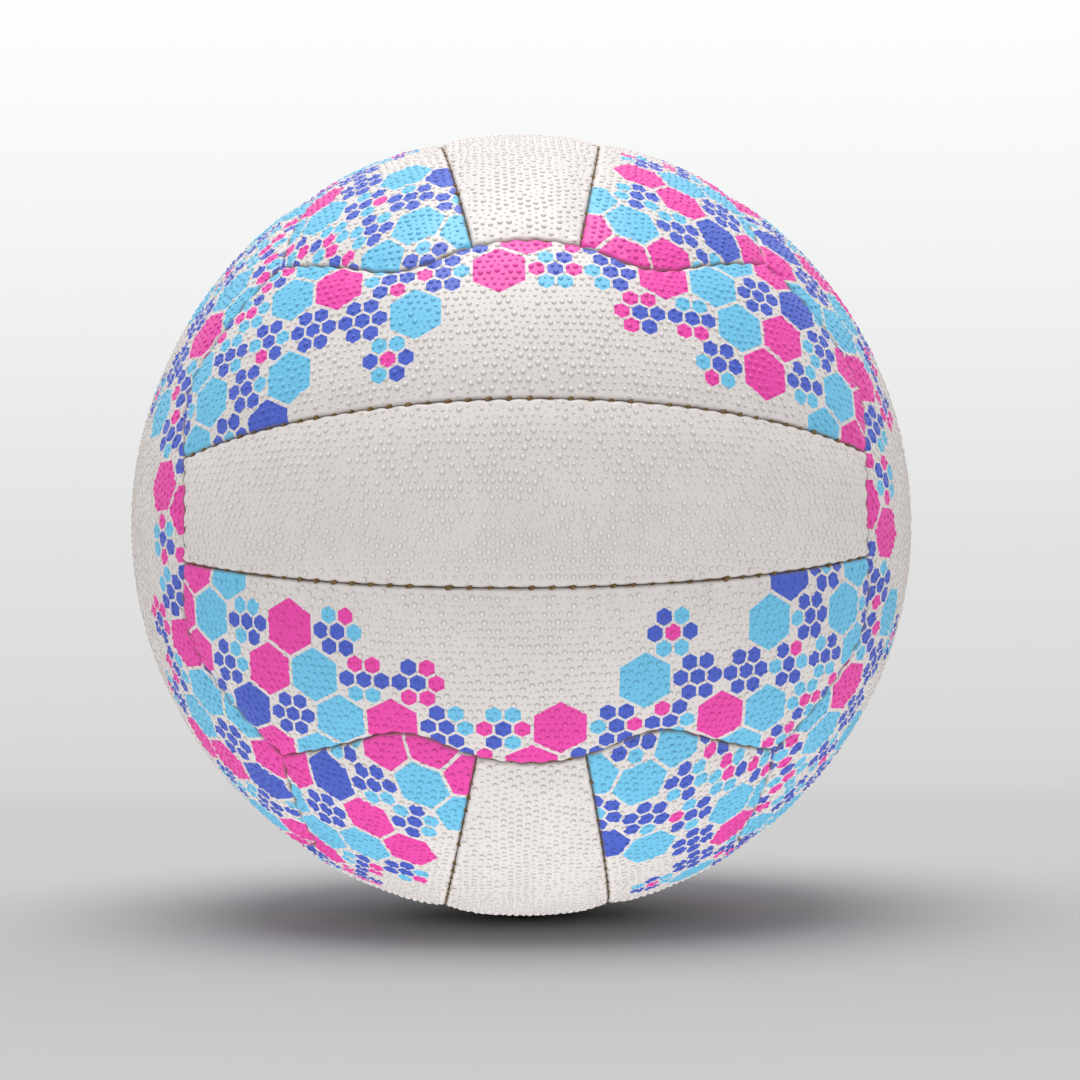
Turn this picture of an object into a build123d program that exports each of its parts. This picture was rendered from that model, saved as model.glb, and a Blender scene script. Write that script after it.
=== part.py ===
# Stitched match netball: 18 pebbled rubber strips over cloth linings and an air bladder.
# The strips lie in six faces of three, like the faces of a cube, and each face's strips
# run square to its neighbours'. The origin is the ball's centre, +Z is up, the front
# face looks along -Y and the valve is in the back face, on +Y.
import os
from math import acos, atan2, cos, hypot, pi, sin, sqrt, tan

from build123d import *

os.makedirs("parts", exist_ok=True)

# Driving dimensions of the ball, in millimetres
circumference = 700.0
middle_strip_width = 46.6

# Strip panels: a rubber skin with its edges turned in, and a cloth lining behind it
cover_thickness = 1.3
lining_thickness = 1.7
edge_roll_radius = 1.8
seam_gap = 0.7
glue_line = 0.1
lining_edge_clearance = 0.1

# Seam between two faces, drawn flat on the plane that touches the ball at the seam's middle
seam_middle_dip = 16.8
seam_crest_rise = 6.7
seam_crest_offset = 32.0
seam_crest_radius = 22.0

# Stitches: short lengths of waxed thread across the turned-in edges
thread_diameter = 1.1
thread_clearance = 0.05
stitch_pitch = 5.0
stitch_depth = 2.2
stitch_end_margin = 4.0
stitch_edge_margin = 0.35

# Bladder and valve
bladder_thickness = 0.8
bladder_clearance = 0.2
valve_stem_radius = 3.2
valve_stem_clearance = 0.1
valve_recess = 0.3
valve_flange_radius = 13.0
valve_flange_thickness = 1.2
valve_flange_glue_line = 0.2
valve_barrel_radius = 5.2
valve_barrel_length = 12.0
valve_end_wall = 1.5
core_radius = 2.1
core_clearance = 0.05
core_recess = 0.4
needle_bore_radius = 1.0
needle_mouth_chamfer = 0.5
needle_exit_clearance = 0.3

# Sizes that follow from those above
ball_radius = circumference / (2 * pi)
strip_half_angle = middle_strip_width / 2 / ball_radius
turned_edge_depth = stitch_depth + thread_diameter / 2 + stitch_edge_margin
cover_inner_radius = ball_radius - cover_thickness
turned_edge_radius = ball_radius - turned_edge_depth
lining_outer_radius = cover_inner_radius - glue_line
lining_inner_radius = lining_outer_radius - lining_thickness
bladder_radius = min(turned_edge_radius, lining_inner_radius) - bladder_clearance
bladder_inner_radius = bladder_radius - bladder_thickness
stitch_radius = ball_radius - stitch_depth

# Seam outline: a middle arc, a crest arc on each side and straight ends through the cube
# corners. Two arcs that touch have their radii in line, which gives the middle radius.
corner_reach = ball_radius / sqrt(2)
crest_dip = seam_middle_dip + seam_crest_rise
radius_sum = (seam_crest_offset**2 + seam_crest_rise**2) / (2 * seam_crest_rise)
middle_radius = radius_sum - seam_crest_radius
join_share = middle_radius / radius_sum
crest_centre_height = seam_crest_radius - crest_dip
arc_join = (
    seam_crest_offset * join_share,
    -seam_middle_dip - middle_radius + radius_sum * join_share - seam_crest_rise * join_share,
)
to_corner = (corner_reach - seam_crest_offset, -crest_centre_height)
leave_angle = atan2(to_corner[1], to_corner[0]) - acos(seam_crest_radius / hypot(*to_corner))
line_join = (
    seam_crest_offset + seam_crest_radius * cos(leave_angle),
    crest_centre_height + seam_crest_radius * sin(leave_angle),
)
end_slope = -line_join[1] / (corner_reach - line_join[0])

# Cutting tools reach well past the skin, in ball radii
tool_near = 0.3
tool_far = 1.05
tool_reach = 1.3

# A face's own frame: x along its strips, y across them, z out of the ball
long_edge = Plane((0, corner_reach, corner_reach), x_dir=(1, 0, 0), z_dir=(0, 1, 1))
right_end = Plane((corner_reach, 0, corner_reach), x_dir=(0, 1, 0), z_dir=(1, 0, 1))
left_end = Plane((-corner_reach, 0, corner_reach), x_dir=(0, -1, 0), z_dir=(-1, 0, 1))

# Face name, strip direction, outward direction, names of its +y and -y strips and seams
faces = [
    ("front", (1, 0, 0), (0, -1, 0), ("upper", "lower"), ("top", "bottom")),
    ("back", (-1, 0, 0), (0, 1, 0), ("upper", "lower"), ("top", "bottom")),
    ("top", (0, 1, 0), (0, 0, 1), ("left", "right"), ("left", "right")),
    ("bottom", (0, 1, 0), (0, 0, -1), ("right", "left"), ("right", "left")),
    ("left", (0, 0, 1), (-1, 0, 0), ("back", "front"), ("back", "front")),
    ("right", (0, 0, 1), (1, 0, 0), ("front", "back"), ("front", "back")),
]
valve_panel = "back_middle"


def mirrored(point):
    return (-point[0], point[1])


def draw_seam(end_reach):
    """Draw the seam outline in the active line builder, its straight ends that far past the corners."""
    end = (corner_reach + end_reach, end_slope * end_reach)
    Line(mirrored(end), mirrored(line_join))
    ThreePointArc(mirrored(line_join), (-seam_crest_offset, -crest_dip), mirrored(arc_join))
    ThreePointArc(mirrored(arc_join), (0, -seam_middle_dip), arc_join)
    ThreePointArc(arc_join, (seam_crest_offset, -crest_dip), line_join)
    Line(line_join, end)
    return end


def seam_cutter(plane, side, grow):
    """Cone from the ball's centre over all that lies beyond a seam, moved by grow into the panel."""
    with BuildPart() as cutter:
        for reach in (tool_near, tool_far):
            with BuildSketch(plane.offset((reach - 1) * ball_radius)):
                with BuildLine():
                    end = draw_seam(ball_radius)
                    beyond = side * tool_reach * ball_radius
                    Polyline(end, (end[0], beyond), (-end[0], beyond), mirrored(end))
                make_face()
                offset(amount=grow, kind=Kind.INTERSECTION)
                scale(by=reach)
        loft(ruled=True)
    return cutter.part


def strip_wedge(strip, inset):
    """Wedge along the strip between its two strip-seam planes, or above the upper one."""
    shift = inset / cos(strip_half_angle)
    height = tool_far * ball_radius
    half_width = height * tan(strip_half_angle)
    with BuildPart() as wedge:
        with BuildSketch(Plane.YZ):
            with BuildLine():
                if strip == "middle":
                    apex = (0, shift / tan(strip_half_angle))
                    Polyline(apex, (half_width - shift, height), (shift - half_width, height), close=True)
                else:
                    Polyline((shift, 0), (half_width + shift, height), (2 * height, height), close=True)
            make_face()
        extrude(amount=height, both=True)
    return wedge.part


def strip_block(strip, inset, outer_radius, inner_radius):
    """One strip of a spherical shell, its outline drawn in by inset from the seam centrelines."""
    wedge = strip_wedge(strip, inset)
    cutters = [seam_cutter(right_end, -1, inset), seam_cutter(left_end, -1, inset)]
    if strip == "outer":
        cutters.append(seam_cutter(long_edge, 1, inset))
    with BuildPart() as block:
        Sphere(outer_radius, rotation=(90, 0, 0))
        Sphere(inner_radius, rotation=(90, 0, 0), mode=Mode.SUBTRACT)
        add(wedge, mode=Mode.INTERSECT)
        for cutter in cutters:
            add(cutter, mode=Mode.SUBTRACT)
    return block.part


def spaced(start, end):
    """Lengths from start to end, about one stitch pitch apart."""
    count = max(1, round((end - start) / stitch_pitch))
    return [start + (end - start) * step / count for step in range(count + 1)]


def across_seam(outward, along):
    """Plane of one stitch, its z axis across the seam and its x axis out of the ball."""
    outward = outward.normalized()
    return Plane(outward * stitch_radius, x_dir=outward, z_dir=outward.cross(along))


def seam_path(plane):
    with BuildLine(plane) as path:
        draw_seam(0)
    return path.wire()


def junction_share():
    """Share of the seam's length at which the upper strip seam of the next face meets it."""
    path = seam_path(right_end)
    low = 0.5
    high = 1.0
    while high - low > 1e-6:
        share = (low + high) / 2
        point = path @ share
        if point.Y < point.Z * tan(strip_half_angle):
            low = share
        else:
            high = share
    return low


junction = junction_share()


def face_seam_stitches(plane):
    """Planes and gaps of the stitches along a seam between two faces, clear of corners and strip seams.

    The gap is drawn flat, so on the ball it narrows towards the corners.
    """
    path = seam_path(plane)
    stops = [0, 1 - junction, junction, 1]
    places = []
    for first, last in zip(stops, stops[1:]):
        start = first * path.length + stitch_end_margin
        end = last * path.length - stitch_end_margin
        for length in spaced(start, end):
            point = path @ (length / path.length)
            along = path % (length / path.length)
            place = across_seam(point, along)
            sideways = plane.z_dir.cross(along) * (seam_gap / 2)
            walls = (point + sideways).normalized() - (point - sideways).normalized()
            places.append((place, abs(walls.dot(place.z_dir)) * stitch_radius))
    return places


def strip_seam_stitches(side):
    """Planes and gaps of the stitches along the upper (side 1) or lower (side -1) strip seam of a face."""
    meeting = seam_path(right_end) @ junction
    half_angle = atan2(meeting.X, sqrt(meeting.Y**2 + meeting.Z**2))
    reach = half_angle * ball_radius - stitch_end_margin
    tilt = side * strip_half_angle
    places = []
    for length in spaced(-reach, reach):
        turn = length / ball_radius
        outward = Vector(sin(turn), cos(turn) * sin(tilt), cos(turn) * cos(tilt))
        along = Vector(cos(turn), -sin(turn) * sin(tilt), -sin(turn) * cos(tilt))
        places.append((across_seam(outward, along), seam_gap))
    return places


def make_stitches(places):
    """Short lengths of thread, each across the gap between two turned-in edges."""
    with BuildPart() as row:
        for place, gap in places:
            with Locations(place.location):
                Cylinder(thread_diameter / 2, gap - 2 * thread_clearance)
    return row.part


def make_cover(strip):
    """Rubber skin of a strip: a domed face, a rolled edge and an edge turned in to the seam."""
    half_gap = seam_gap / 2
    block = strip_block(strip, half_gap, ball_radius, turned_edge_radius)
    pocket = strip_block(
        strip, half_gap + cover_thickness, cover_inner_radius, turned_edge_radius - cover_thickness
    )
    with BuildPart() as cover:
        add(block)
        skin = cover.faces().sort_by(SortBy.AREA)[-1]
        fillet(skin.outer_wire().edges(), radius=edge_roll_radius)
        add(pocket, mode=Mode.SUBTRACT)
    return cover.part


def make_lining(strip):
    """Laminated cloth behind a strip's skin, inside its turned-in edge."""
    inset = seam_gap / 2 + cover_thickness + lining_edge_clearance
    return strip_block(strip, inset, lining_outer_radius, lining_inner_radius)


covers = {strip: make_cover(strip) for strip in ("outer", "middle")}
linings = {strip: make_lining(strip) for strip in ("outer", "middle")}
valve_plane = Plane((0, 0, 0), x_dir=(1, 0, 0), z_dir=(0, 1, 0))

# Cover panels and linings, three to a face
for face, strip_direction, outward, strip_names, _ in faces:
    upright = Plane((0, 0, 0), x_dir=strip_direction, z_dir=outward)
    turned = Plane((0, 0, 0), x_dir=-upright.x_dir, z_dir=outward)
    strips = [
        (strip_names[0], "outer", upright),
        ("middle", "middle", upright),
        (strip_names[1], "outer", turned),
    ]
    for strip_name, strip, frame in strips:
        for shapes, kind in ((covers, "panel"), (linings, "lining")):
            with BuildPart(frame) as piece:
                add(shapes[strip])
                if f"{face}_{strip_name}" == valve_panel:
                    with BuildSketch(valve_plane):
                        Circle(valve_stem_radius + valve_stem_clearance)
                    extrude(amount=tool_far * ball_radius, mode=Mode.SUBTRACT)
            piece.part.label = f"{face}_{strip_name}_{kind}"
            export_step(piece.part, f"parts/{piece.part.label}.step")

# Stitches: the two strip seams of each face, and its two seams with the faces beside it
strip_rows = make_stitches(strip_seam_stitches(1) + strip_seam_stitches(-1))
edge_row = make_stitches(face_seam_stitches(long_edge))
for face, strip_direction, outward, _, seam_names in faces:
    upright = Plane((0, 0, 0), x_dir=strip_direction, z_dir=outward)
    turned = Plane((0, 0, 0), x_dir=-upright.x_dir, z_dir=outward)
    seams = [
        ("strip", strip_rows, upright),
        (seam_names[0], edge_row, upright),
        (seam_names[1], edge_row, turned),
    ]
    for seam, row, frame in seams:
        with BuildPart(frame) as stitches:
            add(row)
        stitches.part.label = f"{face}_{seam}_stitches"
        export_step(stitches.part, f"parts/{stitches.part.label}.step")

# Bladder: a thin ball with a hole for the valve stem
with BuildPart() as bladder:
    Sphere(bladder_radius)
    Sphere(bladder_inner_radius, mode=Mode.SUBTRACT)
    with BuildSketch(valve_plane):
        Circle(valve_stem_radius + valve_stem_clearance)
    extrude(amount=bladder_radius, mode=Mode.SUBTRACT)
bladder.part.label = "bladder"
export_step(bladder.part, "parts/bladder.step")

# Valve body: a stem through the skin, a flange bonded inside the bladder and a barrel
flange_radius_out = bladder_inner_radius - valve_flange_glue_line
flange_radius_in = flange_radius_out - valve_flange_thickness
stem_top = ball_radius - valve_recess
barrel_bottom = flange_radius_in - valve_barrel_length
core_bore_radius = core_radius + core_clearance
needle_exit_radius = needle_bore_radius + needle_exit_clearance


def on_ball(radius, across):
    """Height on the valve's axis of a point at that radius from the centre and distance across."""
    return sqrt(radius**2 - across**2)


with BuildPart() as valve_body:
    with BuildSketch(Plane.XY):
        with BuildLine():
            stem_foot = (valve_stem_radius, on_ball(flange_radius_out, valve_stem_radius))
            flange_tip = (valve_flange_radius, on_ball(flange_radius_out, valve_flange_radius))
            flange_edge = (valve_flange_radius, on_ball(flange_radius_in, valve_flange_radius))
            barrel_top = (valve_barrel_radius, on_ball(flange_radius_in, valve_barrel_radius))
            Polyline((core_bore_radius, stem_top), (valve_stem_radius, stem_top), stem_foot)
            RadiusArc(stem_foot, flange_tip, flange_radius_out)
            Line(flange_tip, flange_edge)
            RadiusArc(flange_edge, barrel_top, -flange_radius_in)
            Polyline(
                barrel_top,
                (valve_barrel_radius, barrel_bottom),
                (needle_exit_radius, barrel_bottom),
                (needle_exit_radius, barrel_bottom + valve_end_wall),
                (core_bore_radius, barrel_bottom + valve_end_wall),
                (core_bore_radius, stem_top),
            )
        make_face()
    revolve(axis=Axis.Y)
valve_body.part.label = "valve_body"
export_step(valve_body.part, "parts/valve_body.step")

# Valve core: a soft plug that grips the inflation needle
core_bottom = barrel_bottom + valve_end_wall + glue_line
core_top = stem_top - core_recess
with BuildPart() as valve_core:
    with BuildSketch(Plane.XY):
        with Locations((0, core_bottom)):
            Rectangle(core_radius, core_top - core_bottom, align=(Align.MIN, Align.MIN))
            Rectangle(
                needle_bore_radius,
                core_top - core_bottom,
                align=(Align.MIN, Align.MIN),
                mode=Mode.SUBTRACT,
            )
    revolve(axis=Axis.Y)
    mouth = valve_core.edges().filter_by(GeomType.CIRCLE).group_by(Axis.Y)[-1].sort_by(SortBy.RADIUS)[0]
    chamfer(mouth, length=needle_mouth_chamfer)
valve_core.part.label = "valve_core"
export_step(valve_core.part, "parts/valve_core.step")
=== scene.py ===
import math
import bpy
import numpy as np
from mathutils import Matrix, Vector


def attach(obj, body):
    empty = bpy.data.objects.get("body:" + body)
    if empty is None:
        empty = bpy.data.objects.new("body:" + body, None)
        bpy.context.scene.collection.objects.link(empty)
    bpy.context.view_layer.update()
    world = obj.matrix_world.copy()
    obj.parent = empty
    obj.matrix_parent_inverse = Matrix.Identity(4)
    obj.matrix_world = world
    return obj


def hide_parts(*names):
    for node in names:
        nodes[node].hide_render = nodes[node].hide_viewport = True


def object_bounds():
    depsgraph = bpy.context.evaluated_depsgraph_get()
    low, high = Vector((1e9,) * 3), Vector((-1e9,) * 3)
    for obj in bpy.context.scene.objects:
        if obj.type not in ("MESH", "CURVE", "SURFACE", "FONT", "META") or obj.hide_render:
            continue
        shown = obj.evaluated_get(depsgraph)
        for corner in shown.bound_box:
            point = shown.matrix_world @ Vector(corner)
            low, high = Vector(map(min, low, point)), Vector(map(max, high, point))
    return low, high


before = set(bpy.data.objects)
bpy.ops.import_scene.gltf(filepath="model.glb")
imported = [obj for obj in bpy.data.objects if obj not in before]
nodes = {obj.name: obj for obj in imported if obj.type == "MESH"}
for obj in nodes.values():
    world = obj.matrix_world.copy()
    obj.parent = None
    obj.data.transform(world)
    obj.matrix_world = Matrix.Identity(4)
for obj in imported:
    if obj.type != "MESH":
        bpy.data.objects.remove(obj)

cadLow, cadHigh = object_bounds()
scene = bpy.context.scene
mm = 0.001
ballRadius = (cadHigh.z - cadLow.z) / 2 / mm   # everything below is in mm until it goes into a mesh

# the six faces of the ball: strip direction, outward direction, names of the strips and seams beside it
faces = {
    "front": {"along": (1, 0, 0), "out": (0, -1, 0),
              "strips": ("upper", "lower"), "seams": ("top", "bottom")},
    "back": {"along": (-1, 0, 0), "out": (0, 1, 0),
             "strips": ("upper", "lower"), "seams": ("top", "bottom")},
    "top": {"along": (0, 1, 0), "out": (0, 0, 1),
            "strips": ("left", "right"), "seams": ("left", "right")},
    "bottom": {"along": (0, 1, 0), "out": (0, 0, -1),
               "strips": ("right", "left"), "seams": ("right", "left")},
    "left": {"along": (0, 0, 1), "out": (-1, 0, 0),
             "strips": ("back", "front"), "seams": ("back", "front")},
    "right": {"along": (0, 0, 1), "out": (1, 0, 0),
              "strips": ("front", "back"), "seams": ("front", "back")},
}


def faceFrame(face, turned):
    # columns are the face's own x, y and z axes; a turned frame is the same face seen upside down
    x = np.array(face["along"], float) * (-1 if turned else 1)
    z = np.array(face["out"], float)
    return np.stack([x, np.cross(z, x), z], axis=1)


# seam lines, the same sizes as the solids have
seam = {
    "stripWidth": 46.6,
    "middleDip": 16.8,
    "crestRise": 6.7,
    "crestOffset": 32.0,
    "crestRadius": 22.0,
    "gap": 0.05,   # drawn tight, the soft edges all but touch, where the solids keep a clear gap
    "anglePoints": 4000,   # points on a seam line, for its angles and for the distances to it
    "distancePoints": 900,
}
halfAngle = seam["stripWidth"] / 2 / ballRadius
cornerReach = ballRadius / math.sqrt(2)


def flatSeam(along):
    # middle arc, then a crest arc, then a straight run to the cube corner, drawn on a plane that
    # touches the ball at the seam's middle; the two arcs touch, so their radii add up
    dip, rise = seam["middleDip"], seam["crestRise"]
    offset, radius = seam["crestOffset"], seam["crestRadius"]
    radiusSum = (offset ** 2 + rise ** 2) / (2 * rise)
    middleRadius = radiusSum - radius
    crestHeight = radius - (dip + rise)
    arcJoin = offset * middleRadius / radiusSum
    toCorner = (cornerReach - offset, -crestHeight)
    leave = math.atan2(toCorner[1], toCorner[0]) - math.acos(radius / math.hypot(*toCorner))
    lineJoin = offset + radius * math.cos(leave)
    lineDip = crestHeight + radius * math.sin(leave)
    a = np.abs(along)
    middle = -dip - middleRadius + np.sqrt(np.maximum(middleRadius ** 2 - a ** 2, 0))
    offCrest = np.clip(a - offset, -radius, radius)
    crest = crestHeight - np.sqrt(radius ** 2 - offCrest ** 2)
    straight = lineDip * (cornerReach - a) / (cornerReach - lineJoin)
    return np.select([a < arcJoin, a < lineJoin], [middle, crest], straight)


def unit(v):
    # the same directions at length 1
    return v / np.linalg.norm(v, axis=-1, keepdims=True)


def longSeam(along):
    # directions of the seam on the face's +y side
    dip = flatSeam(along)
    sideways, outwards = (ballRadius + dip) / math.sqrt(2), (ballRadius - dip) / math.sqrt(2)
    return unit(np.stack([along, sideways, outwards], axis=-1))


def endSeam(along):
    # directions of the seam at the face's +x end
    dip = flatSeam(along)
    lengthwise, outwards = (ballRadius - dip) / math.sqrt(2), (ballRadius + dip) / math.sqrt(2)
    return unit(np.stack([lengthwise, along, outwards], axis=-1))


def angles(directions):
    # length angle from the face's middle, and strip angle about the strip direction
    d = unit(directions)
    return np.stack([np.arcsin(d[..., 0]), np.arctan2(d[..., 1], d[..., 2])], axis=-1)


def fromAngles(pair):
    # the way back: sine of the length angle along, its cosine shared out by the strip angle
    length, tilt = pair[..., 0], pair[..., 1]
    return np.stack([np.sin(length), np.cos(length) * np.sin(tilt), np.cos(length) * np.cos(tilt)], axis=-1)


stripTilt = {"middle": 0.0, "outer": halfAngle}   # strip angle that a strip's own map counts from


def toMap(strip, pair):
    # a strip laid flat at equal area: along = radius x length angle, across shrinks with its cosine
    across = (pair[..., 1] - stripTilt[strip]) * np.cos(pair[..., 0])
    return np.stack([pair[..., 0], across], axis=-1) * ballRadius


def fromMap(strip, flat):
    # the way back from the flat map to the two angles
    length = flat[..., 0] / ballRadius
    return np.stack([length, stripTilt[strip] + flat[..., 1] / ballRadius / np.cos(length)], axis=-1)


endSamples = np.linspace(0, cornerReach, seam["anglePoints"])
endAngles = angles(endSeam(endSamples))
longAngles = angles(longSeam(endSamples))
junction = np.interp(halfAngle, endAngles[:, 1], endSamples)   # where a strip seam meets the end seam
junctionAngle = angles(endSeam(np.array([junction])))[0, 0]


def stripPatch(strip, alongShare, acrossShare):
    # Coons patch in the two angles: strip seam below, strip or long seam above, an end seam each side
    s, t = alongShare[:, None, None], acrossShare[None, :, None]
    flat = np.stack([(2 * alongShare - 1) * junctionAngle, np.full_like(alongShare, halfAngle)], axis=-1)
    if strip == "middle":
        low, high = flat * (1, -1), flat
        first, last = -junction, junction
    else:
        low, high = flat, angles(longSeam((2 * alongShare - 1) * cornerReach))
        first, last = junction, cornerReach
    right = angles(endSeam(first + acrossShare * (last - first)))
    left = right * (-1, 1)
    ruled = (1 - t) * low[:, None] + t * high[:, None] + (1 - s) * left[None] + s * right[None]
    lowEnd, highEnd = angles(endSeam(np.array([first, last])))
    across = (1 - t) * lowEnd + t * highEnd
    return ruled - across * np.concatenate([2 * s - 1, np.ones_like(s)], axis=-1)


def insideStrip(strip, pair):
    # between the strip's two long lines and its two ends
    length, tilt = np.abs(pair[..., 0]), pair[..., 1]
    ends = length < np.interp(np.abs(tilt), endAngles[:, 1], endAngles[:, 0])
    if strip == "middle":
        return ends & (np.abs(tilt) < halfAngle)
    return ends & (tilt > halfAngle) & (tilt < np.interp(length, longAngles[:, 0], longAngles[:, 1]))


def seamDistances(strip, directions):
    # shortest ways to the strip's own outline, in mm: to its two sides, and to its two ends
    line = np.linspace(-cornerReach, cornerReach, seam["distancePoints"])
    points = directions.reshape(-1, 3)

    def toLine(seamLine):
        # chord to the nearest point of the line
        return np.sqrt(np.maximum(2 - 2 * (points @ seamLine.T).max(axis=1), 0))

    def toStripSeam(tilt):
        # height over the plane that holds the seam and the ball's middle
        return np.abs(points @ np.array([0, math.cos(tilt), -math.sin(tilt)]))

    farSide = toStripSeam(-halfAngle) if strip == "middle" else toLine(longSeam(line))
    sides = np.minimum(toStripSeam(halfAngle), farSide)
    ends = np.minimum(toLine(endSeam(line)), toLine(endSeam(line) * (-1, 1, 1)))
    return np.stack([sides, ends], axis=-1).reshape(*directions.shape[:-1], 2) * ballRadius


# one cover strip in mm: lines of the grid, rolled edge, pillow towards the seams, turned-in edge, valve hole
panel = {
    "length": 208.0,
    "width": seam["stripWidth"],
    "edgeLines": (0.0, 0.12, 0.3, 0.55, 0.85, 1.2, 1.6, 2.1, 2.8, 3.7),
    "step": 1.0,
    "rollRadius": 1.15,
    "pillow": 0.75,
    "pillowWidth": 4.8,
    "pucker": 0.3,
    "puckerWidth": 2.2,
    "puckerPitch": 5.0,
    "turnedDepth": 3.1,
    "thickness": 1.3,
    "innerStep": 6.0,
    "valveNode": "back_middle_panel",
    "valveRadius": 3.3,
    "valveLip": ((1.5, 0.0), (0.7, 0.06), (0.3, 0.2), (0.08, 0.45), (0.0, 0.8)),   # out from the hole, down
    "valveBlock": 6.0,
    "farFromSeam": 9.0,   # distance from a seam that the valve's lip counts as
    "seed": 18,
}


def gridLines(length):
    # distances from one edge to the other: close lines over the rolled edges, even steps between
    edge = np.array(panel["edgeLines"])
    count = int(round((length - 2 * edge[-1]) / panel["step"]))
    middle = np.linspace(edge[-1], length - edge[-1], count + 1)[1:-1]
    return np.concatenate([edge, middle, length - edge[::-1]])


def shares(distances, length):
    # places on a panel as shares of the way between its seam lines, which lie half a gap outside its edges
    return (distances + seam["gap"] / 2) / (length + seam["gap"])


def edgeDrop(distances, flat):
    # quarter-round roll at the turned edge, a wide, shallow pillow towards the seam, and along each seam a
    # ripple of one wave a stitch where the thread draws the edge in
    radius = panel["rollRadius"]
    nearest = distances.min(axis=-1)
    inside = np.clip(nearest - seam["gap"] / 2, 0, radius)
    roll = radius - np.sqrt(radius ** 2 - (radius - inside) ** 2)
    turns = flat * 2 * math.pi / panel["puckerPitch"]
    wave = np.cos(turns) * np.exp(-(distances / panel["puckerWidth"]) ** 2)
    pillow = panel["pillow"] * np.exp(-(nearest / panel["pillowWidth"]) ** 2)
    return roll + pillow + panel["pucker"] * wave.sum(axis=-1)


def rim(first, last, columns):
    # grid indices round a block of rows and columns, anticlockwise from outside, and places from 0 to 4
    i, j = np.arange(first[0], last[0]), np.arange(first[1], last[1])
    alongShare, acrossShare = (i - first[0]) / len(i), (j - first[1]) / len(j)
    index = [i * columns + first[1], last[0] * columns + j,
             (i[::-1] + 1) * columns + last[1], first[0] * columns + j[::-1] + 1]
    place = [alongShare, 1 + acrossShare, 2 + alongShare, 3 + acrossShare]
    return np.concatenate(index), np.concatenate(place)


def gridQuads(rows, columns, hole=None):
    # hole is a block of cells left out, as its first and last corner
    i, j = np.meshgrid(np.arange(rows - 1), np.arange(columns - 1), indexing="ij")
    keep = np.ones_like(i, bool)
    if hole:
        (firstRow, firstColumn), (lastRow, lastColumn) = hole
        keep[firstRow:lastRow, firstColumn:lastColumn] = False
    start = (i * columns + j)[keep]
    return np.stack([start, start + columns, start + columns + 1, start + 1], axis=1)


def loopQuads(upper, lower):
    # a band between two loops of one count
    return np.stack([upper, lower, np.roll(lower, -1), np.roll(upper, -1)], axis=1)


def loopTriangles(fine, finePlace, coarse, coarsePlace):
    # a close loop joined to an open one: every fine side goes to the nearest coarse corner
    middle = (finePlace + np.append(finePlace[1:], 4)) / 2
    owner = np.abs(middle[:, None] - np.append(coarsePlace, 4)[None]).argmin(axis=1)
    toOwner = np.stack([fine, coarse[owner % len(coarse)], np.roll(fine, -1)], axis=1)
    change = np.searchsorted(owner, np.arange(1, len(coarse) + 1))
    between = np.stack([coarse, np.roll(coarse, -1), fine[change % len(fine)]], axis=1)
    return np.concatenate([toOwner, between])


def putMesh(name, vertices, faceArrays):
    # vertices in mm; each array of faces has one count of corners
    mesh = bpy.data.meshes.new(name)
    loops = np.concatenate([f.ravel() for f in faceArrays])
    totals = np.concatenate([np.full(len(f), f.shape[1]) for f in faceArrays])
    mesh.vertices.add(len(vertices))
    mesh.loops.add(len(loops))
    mesh.polygons.add(len(totals))
    mesh.vertices.foreach_set("co", (vertices * mm).astype(np.float32).ravel())
    mesh.loops.foreach_set("vertex_index", loops.astype(np.int32))
    mesh.polygons.foreach_set("loop_start", np.concatenate([[0], np.cumsum(totals)[:-1]]).astype(np.int32))
    mesh.polygons.foreach_set("loop_total", totals.astype(np.int32))
    mesh.polygons.foreach_set("use_smooth", np.ones(len(totals), bool))
    mesh.update(calc_edges=True)
    piece = bpy.data.objects.new(name, mesh)
    scene.collection.objects.link(piece)
    return piece


def putSharp(piece, atRim):
    # edges whose two ends are marked break the smooth shading
    ends = np.empty(len(piece.data.edges) * 2, np.int32)
    piece.data.edges.foreach_get("vertices", ends)
    sharp = atRim[ends].reshape(-1, 2).all(axis=1)
    piece.data.attributes.new("sharp_edge", "BOOLEAN", "EDGE").data.foreach_set("value", sharp)


def putValues(piece, attribute, values):
    # one number a vertex, for the materials to read
    layer = piece.data.attributes.new(attribute, "FLOAT", "POINT")
    layer.data.foreach_set("value", values.astype(np.float32))


# low corner and size of two fields on a panel's bake map: shown faces below, hidden ones above
bakeMap = {
    "shown": ((0.01, 0.01), (0.98, 0.62)),
    "hidden": ((0.01, 0.66), (0.98, 0.33)),
}


def putMaps(piece, flat, hidden):
    # one flat place a vertex, spread to the corners of the faces; on the bake map each field is filled by
    # the places as shares of their own range
    corner = np.empty(len(piece.data.loops), np.int32)
    piece.data.loops.foreach_get("vertex_index", corner)
    flat = flat[corner]
    low, high = flat.min(axis=0), flat.max(axis=0)
    share = (flat - low) / (high - low)
    (shownLow, shownSize), (hiddenLow, hiddenSize) = bakeMap["shown"], bakeMap["hidden"]
    fieldLow = np.where(hidden[:, None], hiddenLow, shownLow)
    fieldSize = np.where(hidden[:, None], hiddenSize, shownSize)
    for name, points in (("stripMap", flat * mm), ("OFBake", fieldLow + share * fieldSize)):
        piece.data.uv_layers.new(name=name).data.foreach_set("uv", points.astype(np.float32).ravel())


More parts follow.
